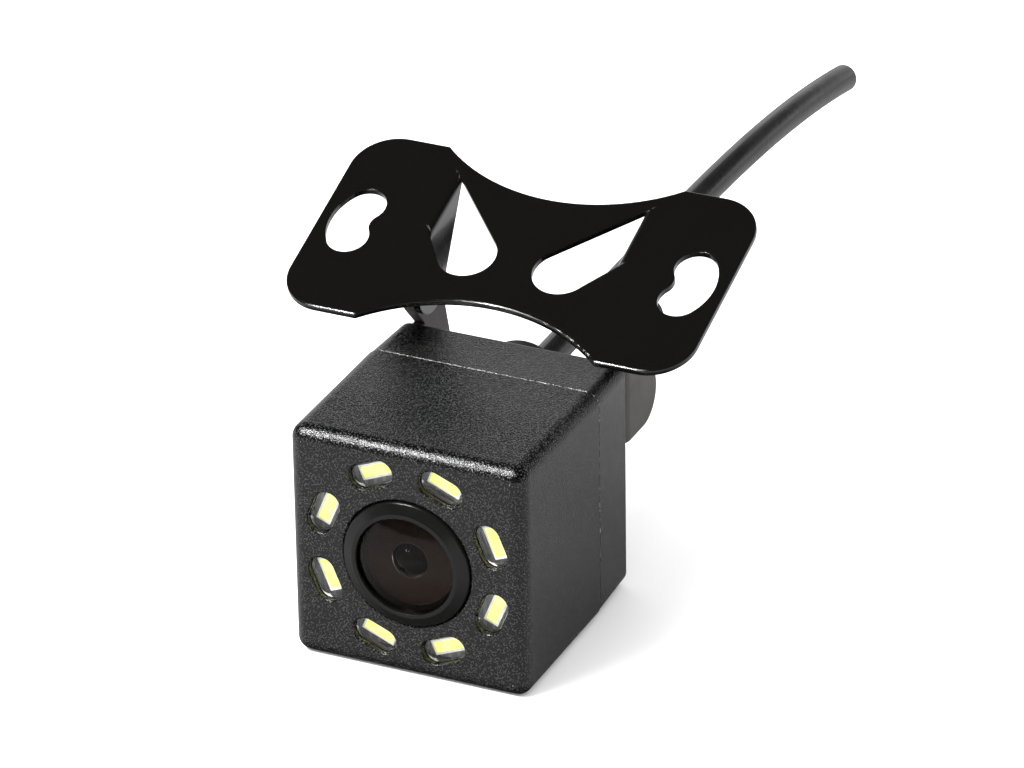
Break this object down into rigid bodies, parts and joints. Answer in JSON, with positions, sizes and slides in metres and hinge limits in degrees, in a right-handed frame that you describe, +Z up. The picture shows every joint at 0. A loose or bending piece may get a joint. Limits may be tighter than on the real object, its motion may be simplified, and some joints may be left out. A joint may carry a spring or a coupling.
{
  "type": "backup camera",
  "caption": "Square vehicle backup camera head with lights round its lens, tilting in a yoke under a black bow-tie sheet bracket with kidney slots, with a rear cable.",
  "frame": {"origin": "centre of the bracket plate on its top face, which lies against the vehicle", "axes": "+X to the camera's right, +Y backwards along the cable, +Z up; the lens looks along -Y and the plate's rear edge is tilted up about X"},
  "size_m": [0.0436, 0.1136, 0.0376],
  "materials": {
    "bracket_gloss_black": "gloss",
    "screw_black_oxide": "black oxide, satin",
    "washer_dark_steel": "dark spring steel, satin",
    "yoke_dark_grey": "semi-matte",
    "housing_speckled_grey": "fine spark-eroded texture, satin paint",
    "seal_rubber": "matte",
    "small_screw_steel": "satin",
    "window_clear": "clear",
    "led_white": "satin",
    "led_phosphor": "matte",
    "board_white": "satin solder mask",
    "barrel_black": "gloss black anodised",
    "lens_glass": "coated, clear",
    "stop_black": "matte black anodised",
    "filter_glass": "coated, clear",
    "holder_black": "matte",
    "sensor_dark": "gloss",
    "board_green": "satin solder mask",
    "standoff_brass": "satin",
    "chip_black": "matte",
    "capacitor_aluminium": "satin",
    "connector_white": "matte",
    "gland_rubber": "matte",
    "cable_black": "smooth PVC, satin",
    "wire_red": "smooth PVC",
    "wire_black": "smooth PVC",
    "wire_yellow": "smooth PVC"
  },
  "bodies": {
    "bracket": {"mounting_bracket": "bracket_gloss_black", "pivot_screws": "screw_black_oxide", "lock_washers": "washer_dark_steel"},
    "camera_head": {"yoke": "yoke_dark_grey", "front_housing": "housing_speckled_grey", "rear_cover": "housing_speckled_grey", "housing_seal": "seal_rubber", "cover_screws": "small_screw_steel", "yoke_screws": "screw_black_oxide", "light_windows": "window_clear", "led_packages": "led_white", "led_phosphors": "led_phosphor", "led_board": "board_white", "lens_barrel": "barrel_black", "front_lens": "lens_glass", "aperture_stop": "stop_black", "middle_lens": "lens_glass", "lens_spacer": "stop_black", "rear_lens": "lens_glass", "infrared_filter": "filter_glass", "lens_o_ring": "seal_rubber", "lens_holder": "holder_black", "image_sensor": "sensor_dark", "sensor_board": "board_green", "holder_screws": "small_screw_steel", "board_standoffs": "standoff_brass", "power_board": "board_green", "video_chip": "chip_black", "filter_capacitors": "capacitor_aluminium", "board_connector": "connector_white", "cable_gland": "gland_rubber", "cable_jacket": "cable_black", "power_wire": "wire_red", "ground_wire": "wire_black", "video_wire": "wire_yellow"}
  },
  "joints": [
    {"name": "head_tilt", "type": "hinge", "parent": "bracket", "child": "camera_head", "pos_m": [0, 0.00044, -0.0058], "axis": [1, 0, 0], "range_deg": [-15, 85]}
  ]
}
